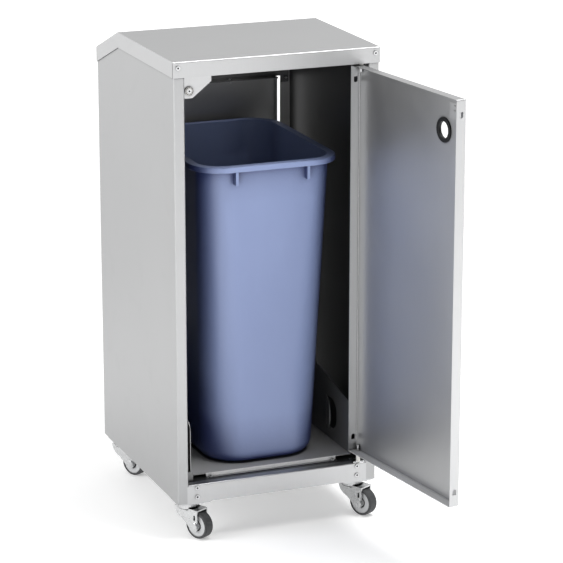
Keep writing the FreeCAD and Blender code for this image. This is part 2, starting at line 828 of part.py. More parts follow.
def door_strike():
    """The small angle inside the door's free edge that the catch magnet holds."""
    body = new_body("door_strike")
    x0 = hinge_edge - door_width + gauge
    y1 = door_depth - hinge_face
    z0 = catch_z - magnet_radius
    z1 = z0 + strike_height
    pad(body, "XZ", y1 - gauge, y1, rectangle(x0, z0, x0 + strike_width, z1))
    pad(body, "YZ", x0, x0 + gauge, rectangle(y1 - strike_width / 2, z0, y1, z1))
    for drop in (strike_hole_drop, strike_hole_drop + strike_hole_pitch):
        hole = circle(x0 + strike_hole_inset, z1 - drop, strike_hole_radius)
        pocket(body, "XZ", y1 - gauge, y1, hole)
    stand(body, hinge_x, hinge_y, door_angle)
    return body


def upper_hinge_bracket():
    """The plate under the lid that holds the upper pin, with a tab on the right-hand side panel."""
    body = new_body("upper_hinge_bracket")
    x0 = hinge_x - hinge_edge
    x1 = opening_half
    y0 = front + gauge
    behind = front + post_lip
    y1 = behind + post_lip
    plan = [(x0, y0), (x1, y0), (x1, behind), (inner_half, behind), (inner_half, y1), (x0, y1)]
    pad(body, "XY", hinge_plate_z, hinge_plate_z + hinge_plate, plan)
    tab = rectangle(behind, hinge_plate_z, y1, panel_top)
    pad(body, "YZ", inner_half - hinge_plate, inner_half, tab)
    pin_hole = circle(hinge_x, hinge_y, hinge_pin_radius)
    pocket(body, "XY", hinge_plate_z, hinge_plate_z + hinge_plate, pin_hole)
    return body


def lower_hinge_bracket():
    """The plate on the floor pan that holds the lower pin."""
    body = new_body("lower_hinge_bracket")
    x0 = hinge_x - hinge_edge
    outline = rectangle(x0, front + outer_bend, opening_half, front + tray_front - tray_foot)
    pad(body, "XY", floor_z, floor_z + hinge_plate, outline)
    pin_hole = circle(hinge_x, hinge_y, hinge_pin_radius)
    pocket(body, "XY", floor_z, floor_z + hinge_plate, pin_hole)
    return body


def upright_pin(label, x, y, z0, z1, radius):
    pin = doc.addObject("Part::Cylinder", label)
    pin.Label = label
    pin.setExpression("Radius", radius.formula)
    pin.setExpression("Height", (z1 - z0).formula)
    pin.setExpression("Placement.Base.x", x.formula)
    pin.setExpression("Placement.Base.y", y.formula)
    pin.setExpression("Placement.Base.z", z0.formula)
    return pin


def upper_hinge_pin():
    z0 = door_z1 - hinge_pin_reach
    z1 = hinge_plate_z + hinge_plate
    return upright_pin("upper_hinge_pin", hinge_x, hinge_y, z0, z1, hinge_pin_radius)


def lower_hinge_pin():
    z1 = door_z0 + hinge_pin_reach
    return upright_pin("lower_hinge_pin", hinge_x, hinge_y, floor_z, z1, hinge_pin_radius)


def hinge_spacer(label, z0, z1):
    body = new_body(label)
    bore = circle(hinge_x, hinge_y, hinge_pin_radius)
    pad(body, "XY", z0, z1, circle(hinge_x, hinge_y, hinge_spacer_radius), bore)
    return body


def catch_gusset():
    """The plate behind the shut door's upper free corner, folded back along the left side panel."""
    body = new_body("catch_gusset")
    x0 = -inner_half
    x1 = -opening_half + gusset_width
    z0 = fascia_z - gusset_drop
    foot = -opening_half + gusset_foot
    plate = [(x0, z0), (foot, z0), (x1, fascia_z - gusset_heel), (x1, panel_top), (x0, panel_top)]
    pad(body, "XZ", gusset_y, gusset_y + gauge, plate)
    pad(body, "YZ", x0, x0 + gauge, rectangle(gusset_y, z0, gusset_y + post_lip, panel_top))
    soften(body, outer_bend, dict(x=x0, y=gusset_y))
    pocket(body, "XZ", gusset_y, gusset_y + gauge, circle(catch_x, catch_z, screw_hole))
    return body


def catch_magnet():
    """The round pot magnet, with a groove inside its rim and the screw hole through its middle."""
    body = new_body("catch_magnet")
    face = gusset_y - magnet_thickness
    hole = circle(catch_x, catch_z, screw_hole)
    pad(body, "XZ", face, gusset_y, circle(catch_x, catch_z, magnet_radius), hole)
    recess = circle(catch_x, catch_z, screw_head_radius + screw_hole_clearance)
    pocket(body, "XZ", face, face + screw_head, recess)
    soften(body, magnet_round, dict(y=face))
    groove = circle(catch_x, catch_z, magnet_radius - magnet_rim)
    core = circle(catch_x, catch_z, magnet_radius - magnet_rim - magnet_groove)
    pocket(body, "XZ", face, face + magnet_groove_depth, groove, core)
    return body


def door_stop():
    """The tab on the floor pan that the shut door's lower free corner meets."""
    body = new_body("door_stop")
    x0 = -opening_half
    y0 = door_rear + catch_gap
    pad(body, "XZ", y0, y0 + gauge, rectangle(x0, floor_z, x0 + stop_width, floor_z + stop_height))
    pad(body, "XY", floor_z, floor_z + gauge, rectangle(x0, y0, x0 + stop_width, y0 + stop_foot))
    soften(body, stop_round, dict(x=x0 + stop_width, z=floor_z + stop_height))
    return body


def tray():
    """The folded tray: floor, two wings with lanced tabs, front lip with a foot, rear lip."""
    body = new_body("bin_tray")
    half = tray_width / 2
    y0 = front + tray_front
    y1 = back - tray_rear
    lip_half = half - tray_lip_inset
    pad(body, "XY", tray_z - gauge, tray_z, rectangle(-half, y0, half, y1))
    pad(body, "XZ", y0, y0 + gauge, rectangle(-lip_half, floor_z, lip_half, tray_z))
    pad(body, "XY", floor_z, floor_z + gauge, rectangle(-lip_half, y0 - tray_foot, lip_half, y0 + gauge))
    pad(body, "XZ", y1 - gauge, y1, rectangle(-lip_half, floor_z, lip_half, tray_z))
    z0 = tray_z + tab_floor
    z1 = z0 + tab_height
    tab_y0 = y0 + tab_setback
    tab_y1 = tab_y0 + tab_length
    for side in (-1, 1):
        x0, x1 = ordered(side * half, side * (half - gauge))
        wing = [
            (y0, tray_z - gauge),
            (y1, tray_z - gauge),
            (y1, tray_z + wing_height + wing_rise),
            (y0, tray_z + wing_height),
        ]
        pad(body, "YZ", x0, x1, wing)
        soften(body, wing_corner, dict(y=y0, z=tray_z + wing_height))
        window = rectangle(tab_y0 - tab_relief, z0 - tab_relief, tab_y1, z1 + tab_relief)
        pocket(body, "YZ", x0, x1, window)
        for z in (z0 - tab_relief, z1 + tab_relief):
            soften(body, tab_corner, dict(y=tab_y0 - tab_relief, z=z))
        root = side * half
        tip = side * (half - tab_swing)
        tongue = [
            (root, tab_y1),
            (tip, tab_y0),
            (tip - side * gauge, tab_y0),
            (root - side * gauge, tab_y1),
        ]
        pad(body, "XY", z0, z1, tongue)
        t0, t1 = ordered(side * (half - gauge), tip - side * gauge)
        for z, up in ((z0, 1), (z1, -1)):
            corner = [
                (tab_y0 - BEYOND, z - up * BEYOND),
                (tab_y0 + tab_corner, z - up * BEYOND),
                arc(tab_y0 + tab_corner, z, -up * tab_corner),
                (tab_y0, z + up * tab_corner),
                (tab_y0 - BEYOND, z + up * tab_corner),
            ]
            pocket(body, "YZ", t0, t1, corner)
    pocket(body, "XY", floor_z, floor_z + gauge, *tray_screw_holes())
    return body


def wastebasket():
    """The tapered basket: walls, rounded foot, rolled rim and ribs under it, less its inside."""
    z0 = tray_z
    z1 = z0 + bin_height
    cy = front + bin_setback + bin_length / 2
    wall_x = bin_width / 2 - rim_overhang
    wall_y = bin_length / 2 - rim_overhang
    wall_corner = bin_corner - rim_overhang
    zero = as_size(0)
    outside = new_body("basket_outside")
    rim = rounded_rectangle(zero, cy, bin_width / 2, bin_length / 2, bin_corner)
    pad(outside, "XY", z1 - rim_height, z1, rim)
    soften(outside, rim_round, dict(z=z1), dict(z=z1 - rim_height))
    fall = bin_height * tangent(bin_draft)
    foot = rounded_rectangle(zero, cy, wall_x - fall, wall_y - fall, bin_foot_corner)
    loft(outside, z0, z1, foot, rounded_rectangle(zero, cy, wall_x, wall_y, wall_corner))
    soften(outside, bin_foot_radius, dict(z=z0))
    for side in (-1, 1):
        for end in (-1, 1):
            x = side * rib_offset
            face = cy + end * (wall_y - fall)
            edge = cy + end * (bin_length / 2 - rim_round / 2)
            y0, y1 = ordered(face, edge)
            outline = rectangle(x - rib_gauge / 2, y0, x + rib_gauge / 2, y1)
            pad(outside, "XY", z1 - rim_height - rib_height, z1 - rim_height, outline)
    inside = new_body("basket_inside")
    depth = bin_height - bin_floor
    inset = depth * tangent(bin_draft) + bin_wall
    hollow = rounded_rectangle(zero, cy, wall_x - inset, wall_y - inset, bin_foot_corner - bin_wall)
    mouth = rounded_rectangle(zero, cy, wall_x - bin_wall, wall_y - bin_wall, wall_corner - bin_wall)
    # A short prism above the mouth, so that the cut runs out past the rim
    pad(inside, "XY", z1, z1 + bin_wall, mouth)
    loft(inside, z0 + bin_floor, z1, hollow, mouth)
    soften(inside, bin_foot_radius - bin_wall, dict(z=z0 + bin_floor))
    basket = doc.addObject("Part::Cut", "wastebasket")
    basket.Label = "wastebasket"
    basket.Base = outside
    basket.Tool = inside
    return basket


def caster_plate(label, x, y):
    """The bolted top plate with the upper race pressed into it."""
    body = new_body(label)
    bore = circle(x, y, king_pin_radius)
    outline = rounded_rectangle(x, y, plate_length / 2, plate_width / 2, plate_corner)
    pad(body, "XY", plate_z, bracket_z, outline, bore)
    pad(body, "XY", plate_z - upper_race_depth, plate_z, circle(x, y, upper_race_radius), bore)
    holes = [circle(*place, bolt_radius + running_gap) for place in bolt_places(x, y)]
    pocket(body, "XY", plate_z, bracket_z, *holes)
    return body


def king_pin(label, x, y):
    """The rivet that the fork turns on."""
    body = new_body(label)
    under = crown_z - fork_crown - race_gap
    pad(body, "XY", under - king_pin_head, under, circle(x, y, king_pin_head_radius))
    pad(body, "XY", under, bracket_z + king_pin_rivet, circle(x, y, king_pin_radius))
    soften(body, king_pin_round, dict(z=under - king_pin_head))
    return body


def fork(label, x, y):
    """The pressed fork, drawn about its swivel axis with the axle behind it along +X."""
    body = new_body(label)
    trail_edge = caster_trail + fork_leg_trail
    nose_foot = crown_z - fork_nose_drop
    nose_top = crown_z - fork_crown
    outline = [
        (-fork_nose, crown_z),
        arc(-fork_nose, nose_top, fork_nose_radius),
        (-fork_leg_lead, nose_foot),
        (caster_trail - fork_leg_trail, wheel_radius - fork_toe),
        (caster_trail + fork_leg_trail / 2, wheel_radius - fork_toe),
        (trail_edge, wheel_radius - fork_toe / 2),
        (trail_edge, crown_z),
    ]
    pad(body, "XZ", -fork_outer_half, fork_outer_half, outline)
    inside = [
        arc(fork_web - fork_nose, nose_top, fork_nose_radius),
        (fork_web - fork_leg_lead, nose_foot),
        (fork_web - fork_leg_lead, 0),
        (trail_edge + BEYOND, 0),
        (trail_edge + BEYOND, nose_top),
    ]
    pocket(body, "XZ", -fork_inner_half, fork_inner_half, inside)
    race_top = plate_z - upper_race_depth - race_gap
    pad(body, "XY", crown_z - fork_crown / 2, race_top, circle(0, 0, lower_race_radius))
    pocket(body, "XY", nose_top, race_top, circle(0, 0, king_pin_radius + running_gap))
    slot_z = wheel_radius + fork_slot_lift
    slot = rounded_rectangle(caster_trail, slot_z, fork_slot_half, fork_slot_height / 2, fork_slot_corner)
    pocket(body, "XZ", -fork_outer_half, fork_outer_half, slot)
    axle_hole = circle(caster_trail, wheel_radius, axle_radius)
    pocket(body, "XZ", -fork_outer_half, fork_outer_half, axle_hole)
    stand(body, x, y, caster_turn)
    return body


def axle(label, x, y):
    """The riveted axle, drawn about the swivel axis like its fork."""
    body = new_body(label)
    head = circle(caster_trail, wheel_radius, axle_head_radius)
    shank = circle(caster_trail, wheel_radius, axle_radius)
    pad(body, "XZ", -fork_outer_half, fork_outer_half, shank)
    pad(body, "XZ", fork_outer_half, fork_outer_half + axle_head, head)
    pad(body, "XZ", -fork_outer_half - axle_head, -fork_outer_half, head)
    end = fork_outer_half + axle_head
    soften(body, axle_head_round, dict(y=end), dict(y=-end))
    stand(body, x, y, caster_turn)
    return body


def wheel_core(label, x, y):
    """The moulded wheel centre: hub, a deep ring groove round it, and the disc that carries the tyre."""
    body = new_body(label)
    at = (caster_trail, wheel_radius)
    bore = circle(*at, axle_radius + running_gap)
    half = core_width / 2
    pad(body, "XZ", -half, half, circle(*at, core_radius), bore)
    pad(body, "XZ", -hub_width / 2, hub_width / 2, circle(*at, hub_radius), bore)
    groove_out = circle(*at, hub_radius + core_groove_width)
    groove_in = circle(*at, hub_radius)
    pocket(body, "XZ", half - core_groove, half, groove_out, groove_in)
    pocket(body, "XZ", -half, core_groove - half, groove_out, groove_in)
    stand(body, x, y, caster_turn)
    return body


def wheel_tyre(label, x, y):
    """The tyre round the wheel centre."""
    body = new_body(label)
    at = (caster_trail, wheel_radius)
    half = tyre_width / 2
    pad(body, "XZ", -half, half, circle(*at, wheel_radius), circle(*at, core_radius))
    doc.recompute()
    edges = enumerate(body.Shape.Edges, 1)
    rings = [(i, e.Curve.Radius) for i, e in edges if isinstance(e.Curve, Part.Circle)]
    tread = [f"Edge{i}" for i, radius in rings if abs(radius - wheel_radius.value) < EDGE_TOLERANCE]
    base = body.Tip
    rounding = body.newObject("PartDesign::Fillet", "Tread")
    rounding.Base = (base, tread)
    rounding.setExpression("Radius", tyre_round.formula)
    stand(body, x, y, caster_turn)
    return body


def solid_cylinder(radius, height):
    drawn = doc.addObject("Part::Cylinder", "Cylinder")
    drawn.setExpression("Radius", radius.formula)
    drawn.setExpression("Height", height.formula)
    return drawn


def solid_hexagon(radius, height):
    drawn = doc.addObject("Part::Prism", "Hexagon")
    drawn.Polygon = 6
    drawn.setExpression("Circumradius", radius.formula)
    drawn.setExpression("Height", height.formula)
    return drawn


def lift(drawn, z):
    drawn.setExpression("Placement.Base.z", as_size(z).formula)
    return drawn


def screw(length):
    """A socket screw along +Z, its head's seat at the origin and its shank below."""
    shank = lift(solid_cylinder(screw_radius, length), -length)
    head = solid_cylinder(screw_head_radius, screw_head)
    socket = lift(solid_hexagon(socket_radius, socket_depth), screw_head - socket_depth)
    whole = doc.addObject("Part::MultiFuse", "ScrewBlank")
    whole.Shapes = [shank, head]
    cut = doc.addObject("Part::Cut", "Screw")
    cut.Base = whole
    cut.Tool = socket
    return cut


TURNS = {
    "front": FreeCAD.Rotation(FreeCAD.Vector(1, 0, 0), 90),
    "back": FreeCAD.Rotation(FreeCAD.Vector(1, 0, 0), -90),
    "up": FreeCAD.Rotation(),
}


def put(drawn, facing, x, y, z):
    """Places a fastener with its head facing front, back or up."""
    drawn.Placement = FreeCAD.Placement(FreeCAD.Vector(), TURNS[facing])
    for axis, where in (("x", x), ("y", y), ("z", z)):
        drawn.setExpression(f"Placement.Base.{axis}", as_size(where).formula)
    return drawn


def group(label, pieces):
    """Identical fasteners as one node of separate solids."""
    whole = doc.addObject("Part::Compound", label)
    whole.Label = label
    whole.Links = pieces
    return whole


def lid_screws():
    x = cabinet_width / 2 - lid_screw_edge
    return group(
        "lid_screws",
        [put(screw(screw_length), "front", side * x, lid_front, lid_screw_z) for side in (-1, 1)],
    )


def base_screws():
    ends = (("front", front), ("back", back))
    return group(
        "base_screws",
        [put(screw(screw_length), facing, x, y, z) for facing, y in ends for x, z in base_screw_places()],
    )


def back_panel_screws():
    lip_y = back - back_lip / 2
    placed = []
    for side in (-1, 1):
        x = side * back_screw_offset
        placed.append(put(screw(screw_length), "up", x, lip_y, back_top_z + gauge))
        edge_x = side * (cabinet_width / 2 - rear_screw_edge)
        placed.append(put(screw(screw_length), "back", edge_x, back, rear_screw_z))
    return group("back_panel_screws", placed)


def tray_screws():
    z = floor_z + gauge
    return group("tray_screws", [put(screw(screw_length), "up", x, y, z) for x, y in tray_screw_places()])


def catch_screw():
    face = gusset_y - magnet_thickness + screw_head
    drawn = put(screw(screw_length), "front", catch_x, face, catch_z)
    drawn.Label = "catch_screw"
    return drawn


CORNERS = (("front_left", -1, -1), ("front_right", 1, -1), ("rear_left", -1, 1), ("rear_right", 1, 1))


def all_bolt_places():
    return [place for name, i, j in CORNERS for place in bolt_places(i * caster_x, j * caster_y)]


def caster_bolt():
    """A hexagon bolt along +Z with its head below the origin."""
    head = lift(solid_hexagon(bolt_head_radius, bolt_head), -bolt_head)
    shank = solid_cylinder(bolt_radius, plate_gauge + bracket_plate + bolt_spare)
    whole = doc.addObject("Part::MultiFuse", "Bolt")
    whole.Shapes = [head, shank]
    return whole


def caster_bolts():
    return group("caster_bolts", [put(caster_bolt(), "up", *place, plate_z) for place in all_bolt_places()])


def caster_nut():
    blank = solid_hexagon(bolt_head_radius, nut_height)
    cut = doc.addObject("Part::Cut", "Nut")
    cut.Base = blank
    cut.Tool = solid_cylinder(bolt_radius, nut_height)
    return cut


def caster_nuts():
    return group("caster_nuts", [put(caster_nut(), "up", *place, base_z) for place in all_bolt_places()])


def casters():
    pieces = []
    for name, side, end in CORNERS:
        x = side * caster_x
        y = end * caster_y
        pieces.append(caster_bracket(f"{name}_caster_bracket", side, end))
        pieces.append(caster_plate(f"{name}_caster_plate", x, y))
        pieces.append(king_pin(f"{name}_king_pin", x, y))
        pieces.append(fork(f"{name}_fork", x, y))
        pieces.append(axle(f"{name}_axle", x, y))
        pieces.append(wheel_core(f"{name}_wheel_core", x, y))
        pieces.append(wheel_tyre(f"{name}_tyre", x, y))
    return pieces


def assemble():
    """Every node of the part, in the order in which it goes together."""
    return [
        side_panel("left_side_panel", -1),
        side_panel("right_side_panel", 1),
        base_pan(),
        back_panel(),
        rear_top_rail(),
        lid(),
        slot_trim(),
        door_panel(),
        door_grommet(),
        door_strike(),
        upper_hinge_bracket(),
        lower_hinge_bracket(),
        upper_hinge_pin(),
        lower_hinge_pin(),
        hinge_spacer("upper_hinge_washer", door_z1 + hinge_lift, hinge_plate_z),
        hinge_spacer("lower_hinge_spacer", floor_z + hinge_plate, door_z0 - hinge_lift),
        catch_gusset(),
        catch_magnet(),
        catch_screw(),
        door_stop(),
        tray(),
        wastebasket(),
        lid_screws(),
        base_screws(),
        back_panel_screws(),
        tray_screws(),
        *casters(),
        caster_bolts(),
        caster_nuts(),
    ]


def check(pieces):
    """Stops before anything is written if a feature failed or a shape is empty or broken."""
    failed = [o.Label for o in doc.Objects if "Invalid" in o.State or "Error" in o.State]
    broken = [p.Label for p in pieces if p.Shape.isNull() or not p.Shape.isValid()]
    if failed or broken:
        raise RuntimeError(f"failed features {failed}, broken shapes {broken}")


def write(pieces):
    os.makedirs("parts", exist_ok=True)
    for piece in pieces:
        piece.Shape.exportStep(os.path.join("parts", f"{piece.Label}.step"))


nodes = assemble()
doc.recompute()
check(nodes)
write(nodes)
print(len(nodes), "nodes written")
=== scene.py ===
import json
import math

import bpy
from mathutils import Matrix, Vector

# The looks of a sheet-steel recycling cabinet with an open door and a blue plastic wastebasket.
# Metres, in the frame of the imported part: +X right, +Y back, +Z up, origin on the floor.

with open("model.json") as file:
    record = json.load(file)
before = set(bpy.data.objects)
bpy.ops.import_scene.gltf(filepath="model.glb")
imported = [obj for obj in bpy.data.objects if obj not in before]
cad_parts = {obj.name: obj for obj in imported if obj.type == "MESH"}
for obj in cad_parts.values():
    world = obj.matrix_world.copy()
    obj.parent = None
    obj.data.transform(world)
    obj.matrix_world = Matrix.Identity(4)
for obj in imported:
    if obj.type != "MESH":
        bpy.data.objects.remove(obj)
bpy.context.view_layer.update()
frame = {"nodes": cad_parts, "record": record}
nodes = frame["nodes"]


class Value:
    """A socket of a finish. Sums and products with it become Math nodes."""

    def __init__(self, finish, socket):
        self.finish = finish
        self.socket = socket

    def math(self, operation, first, second):
        return self.finish.node("ShaderNodeMath", {"operation": operation}, {0: first, 1: second})

    def __add__(self, other):
        return self.math("ADD", self, other)

    def __radd__(self, other):
        return self.math("ADD", other, self)

    def __sub__(self, other):
        return self.math("SUBTRACT", self, other)

    def __rsub__(self, other):
        return self.math("SUBTRACT", other, self)

    def __mul__(self, other):
        return self.math("MULTIPLY", self, other)


class Mixture:
    """A node tree, and the one way to add nodes to it."""

    def __init__(self, tree):
        self.tree = tree

    def node(self, kind, settings=None, sockets=None, output=0):
        """Adds a node: its settings first, then its sockets. Gives back one of its outputs."""
        made = self.tree.nodes.new(kind)
        for name, setting in (settings or {}).items():
            if name == "stops":
                self.set_stops(made.color_ramp.elements, setting)
            else:
                setattr(made, name, setting)
        for name, value in (sockets or {}).items():
            self.feed(made.inputs[name], value)
        return Value(self, made.outputs[output])

    def set_stops(self, elements, stops):
        while len(elements) < len(stops):
            elements.new(1.0)
        for element, (position, shade) in zip(elements, stops):
            element.position = position
            element.color = (shade, shade, shade, 1.0)

    def feed(self, socket, value):
        if isinstance(value, Value):
            self.tree.links.new(value.socket, socket)
        else:
            socket.default_value = value


# Sockets of a Mix node that mixes colours
MIX_SHARE = 0
MIX_LOW = 6
MIX_HIGH = 7
MIX_RESULT = 2


class Finish(Mixture):
    """One procedural material: a Principled shader and the nodes that feed it."""

    def __init__(self, name):
        self.material = bpy.data.materials.new(name)
        self.material.use_nodes = True
        super().__init__(self.material.node_tree)
        self.shader = self.tree.nodes["Principled BSDF"]
        self.place = self.node("ShaderNodeTexCoord", output="Object")

    def noise(self, size, stretch=(1, 1, 1), detail=2.0):
        """Soft noise from 0 to 1 whose blotches are about size metres wide, drawn out by stretch."""
        scale = [1 / (size * s) for s in stretch]
        where = self.node("ShaderNodeMapping", {}, {"Vector": self.place, "Scale": scale})
        return self.node("ShaderNodeTexNoise", {}, {"Vector": where, "Scale": 1.0, "Detail": detail})

    def cells(self, size):
        """A random shade from 0 to 1 for each crystal of about size metres."""
        sockets = {"Vector": self.place, "Scale": 1 / size}
        colour = self.node("ShaderNodeTexVoronoi", {}, sockets, output="Color")
        return self.node("ShaderNodeSeparateColor", {}, {"Color": colour})

    def ramp(self, value, *stops):
        return self.node("ShaderNodeValToRGB", {"stops": stops}, {"Fac": value})

    def blend(self, share, low, high):
        """The colour low, turning into high as share goes to 1. High can be a colour or a socket."""
        if not isinstance(high, Value):
            high = (*high, 1.0)
        sockets = {MIX_SHARE: share, MIX_LOW: (*low, 1.0), MIX_HIGH: high}
        return self.node("ShaderNodeMix", {"data_type": "RGBA"}, sockets, output=MIX_RESULT)

    def along(self, axis, vector=None):
        """How far along the axis X, Y or Z the shaded point lies, or another vector points."""
        return self.node("ShaderNodeSeparateXYZ", {}, {"Vector": vector or self.place}, output=axis)

    def open_air(self, reach, own=False):
        """1 on open faces, less where something within reach metres closes them off."""
        settings = {"samples": 8, "only_local": own}
        return self.node("ShaderNodeAmbientOcclusion", settings, {"Distance": reach}, output="AO")

    def seam_shade(self, reach, closed):
        """1 on open faces, falling to 0 where another piece lies within reach metres: the mask for painted
        shade between pieces. Folds don't count.
        """
        nearness = self.open_air(reach, own=True) - self.open_air(reach)
        return self.ramp(1 - nearness, (closed, 0.0), (0.95, 1.0))

    def within(self, low, high):
        """1 inside the box from low to high, 0 outside it."""
        share = 1.0
        for axis, bottom, top in zip("XYZ", low, high):
            place = self.along(axis)
            above = place.math("GREATER_THAN", place, bottom)
            share = above * place.math("LESS_THAN", place, top) * share
        return share

    def relief(self, height, depth):
        """A normal from a height of 0 to 1 that stands depth metres tall."""
        sockets = {"Strength": 1.0, "Distance": depth, "Height": height}
        return self.node("ShaderNodeBump", {}, sockets)

    def wear(self, **sockets):
        """Feeds the shader. Base_Color stands for the socket Base Color, and so on."""
        for name, value in sockets.items():
            self.feed(self.shader.inputs[name.replace("_", " ")], value)
        return self.material


BLACK = (0.0, 0.0, 0.0)
# Painted shade between pieces: its tone and how far it reaches
SEAM_SHADE_TONE = (0.07, 0.07, 0.075)
SEAM_SHADE_REACH = 0.006
# How far the painted shade in a sheet's own inner folds reaches
FOLD_SHADE_REACH = 0.005

# The room inside the cabinet, from its low to its high corner, where the steel is darkened as painted shade
INSIDE_LOW = (-0.1894, -0.194, 0.1035)
INSIDE_HIGH = (0.1894, 0.2095, 0.8674)

# Boxes of painted light, where the sheet doesn't shine and is painted a flat grey for the light that falls
# there: low corner, high corner and tone
TRAY_FLOOR = ((-0.154, -0.1775, 0.1108), (0.154, 0.18, 0.1116), 0.45)
TRAY_LIP = ((-0.126, -0.1785, 0.1035), (0.126, -0.1775, 0.1116), 0.95)
DOOR_FOOT = ((0.1, -0.6, 0.12), (0.3, -0.19, 0.1268), 0.5)
REAR_FLANGE = ((0.168, 0.205, 0.1), (0.19, 0.2093, 0.87), 0.4)
RAIL_REAR = ((-0.19, 0.2082, 0.72), (0.19, 0.2095, 0.82), 0.5)
BACK_LIP = ((0.155, 0.188, 0.1), (0.16, 0.2085, 0.87), 0.4)


def satin_steel(name, light=1.0, inside_shade=0.65, roughness=0.34, metallic=1.0, seam_shade_closed=0.6, matt=(), fold_shade_kept=1.0):
    """Satin sheet painted as light as this share, so that copies of the one steel stand in for more or less
    light on each part: an upright grain, broad clouding and dull marks.

    Inside the cabinet a share of its tone is taken away, as painted shade. Painted shade also darkens it
    where another piece lies close.
    In the matt boxes it doesn't shine and is painted a flat grey, as painted light. Painted shade darkens its
    inner folds, which keep the given share of their tone.
    """
    steel = Finish(name)
    grain = steel.noise(0.0011, stretch=(1, 1, 30), detail=3.0)
    clouds = steel.noise(0.16)
    marks = steel.ramp(steel.noise(0.045, detail=4.0), (0.58, 0.0), (0.75, 1.0))
    tone = steel.blend(grain * 0.55 + clouds * 0.45, (0.47, 0.473, 0.477), (0.55, 0.553, 0.557))
    # Painted lightness: the part's light share, lowered inside the cabinet as painted shade
    painted_lightness = light - steel.within(INSIDE_LOW, INSIDE_HIGH) * (light * inside_shade)
    tone = steel.blend(painted_lightness, BLACK, tone)
    # Patches of painted light: a flat grey that is not metal
    for low, high, grey in matt:
        shining = 1 - steel.within(low, high)
        tone = steel.blend(shining, (grey, grey, grey), tone)
        metallic = shining * metallic
    # Painted shade in the sheet's own inner folds
    if fold_shade_kept < 1:
        flat = steel.ramp(steel.open_air(FOLD_SHADE_REACH, own=True), (0.55, 0.0), (0.9, 1.0))
        tone = steel.blend(flat * (1 - fold_shade_kept) + fold_shade_kept, BLACK, tone)
    return steel.wear(
        # Painted shade darkens the sheet where another piece lies close
        Base_Color=steel.blend(steel.seam_shade(SEAM_SHADE_REACH, seam_shade_closed), SEAM_SHADE_TONE, tone),
        Metallic=metallic,
        Roughness=roughness + grain * 0.08 + clouds * 0.05 + marks * 0.03,
        Normal=steel.relief(grain * 0.7 + clouds * 0.3, 0.000012),
    )


# Painted shade in grooves and hollows: its reach, its stops and its tone
GROOVE_SHADE_REACH = 0.004
GROOVE_SHADE_STOPS = ((0.4, 0.0), (0.85, 1.0))
GROOVE_SHADE_TONE = (0.02, 0.02, 0.021)


def bright_zinc():
    """Zinc plating: small crystals of slightly different tone, fine pits and a duller bloom, with painted
    shade in its sockets and hollows.
    """
    zinc = Finish("bright_zinc_plating")
    crystals = zinc.cells(0.0028)
    bloom = zinc.noise(0.012, detail=4.0)
    pits = zinc.noise(0.0006)
    tone = zinc.blend(crystals * 0.5 + bloom * 0.5, (0.48, 0.485, 0.49), (0.66, 0.665, 0.67))
    # Painted shade in the sockets and hollows
    recess_shade = zinc.ramp(zinc.open_air(GROOVE_SHADE_REACH, own=True), (0.85, 0.0), (0.97, 1.0))
    return zinc.wear(
        Base_Color=zinc.blend(recess_shade, GROOVE_SHADE_TONE, tone),
        Metallic=1.0,
        Roughness=0.2 + crystals * 0.05 + bloom * 0.12,
        Normal=zinc.relief(pits * 0.6 + bloom * 0.4, 0.000025),
    )


BASKET_DARK = (0.235, 0.296, 0.513)
BASKET_LIGHT = (0.287, 0.356, 0.59)
# Painted shade on the basket: its tone, and how far it reaches
BASKET_SHADOW = (0.03, 0.042, 0.13)
SHADOW_REACH = 0.1

# How light the front wall is painted at each height in metres: painted light, less near the floor, and none
# on the rim
FRONT_LIGHT_STOPS = ((0.0, 0.55), (0.6, 1.0), (0.65, 0.0))


def blue_plastic():
    """Moulded polyethylene: a fine pebbled skin, broad flow marks and lighter scuffs.

    Painted shade darkens it where the cabinet stands close to it. Painted light keeps its front wall below
    the rim light, less so near the floor.
    """
    plastic = Finish("blue_moulded_plastic")
    pebbles = plastic.noise(0.0009, detail=1.0)
    flow = plastic.noise(0.07, stretch=(1, 1, 2.5))
    scuffs = plastic.ramp(plastic.noise(0.02, stretch=(1, 1, 3), detail=5.0), (0.62, 0.0), (0.8, 1.0))
    tone = plastic.blend(flow * 0.6 + pebbles * 0.25 + scuffs * 0.15, BASKET_DARK, BASKET_LIGHT)
    clear = plastic.ramp(plastic.open_air(SHADOW_REACH), (0.42, 0.0), (1.0, 1.0))
    forward = 0 - plastic.along("Y", plastic.node("ShaderNodeTexCoord", output="Normal"))
    below_rim = plastic.ramp(plastic.along("Z"), *FRONT_LIGHT_STOPS)
    front = plastic.ramp(forward, (0.8, 0.0), (0.985, 1.0)) * below_rim
    # Painted light on the front wall, painted shade elsewhere
    lit = front.math("MAXIMUM", front, clear)
    return plastic.wear(
        Base_Color=plastic.blend(lit, BASKET_SHADOW, tone),
        Roughness=0.4 + pebbles * 0.1 + scuffs * 0.06 - flow * 0.05,
        Normal=plastic.relief(pebbles * 0.8 + flow * 0.2, 0.00004),
    )


def black_plastic():
    """Soft black plastic: fine grain, with a dusty bloom."""
    plastic = Finish("black_plastic_trim")
    grain = plastic.noise(0.0007)
    bloom = plastic.noise(0.011, detail=3.0)
    return plastic.wear(
        Base_Color=plastic.blend(bloom * 0.7 + grain * 0.3, (0.004, 0.004, 0.0045), (0.011, 0.011, 0.012)),
        Roughness=0.38 + grain * 0.1 + bloom * 0.08,
        Specular_IOR_Level=0.2,
        Normal=plastic.relief(grain, 0.00003),
    )


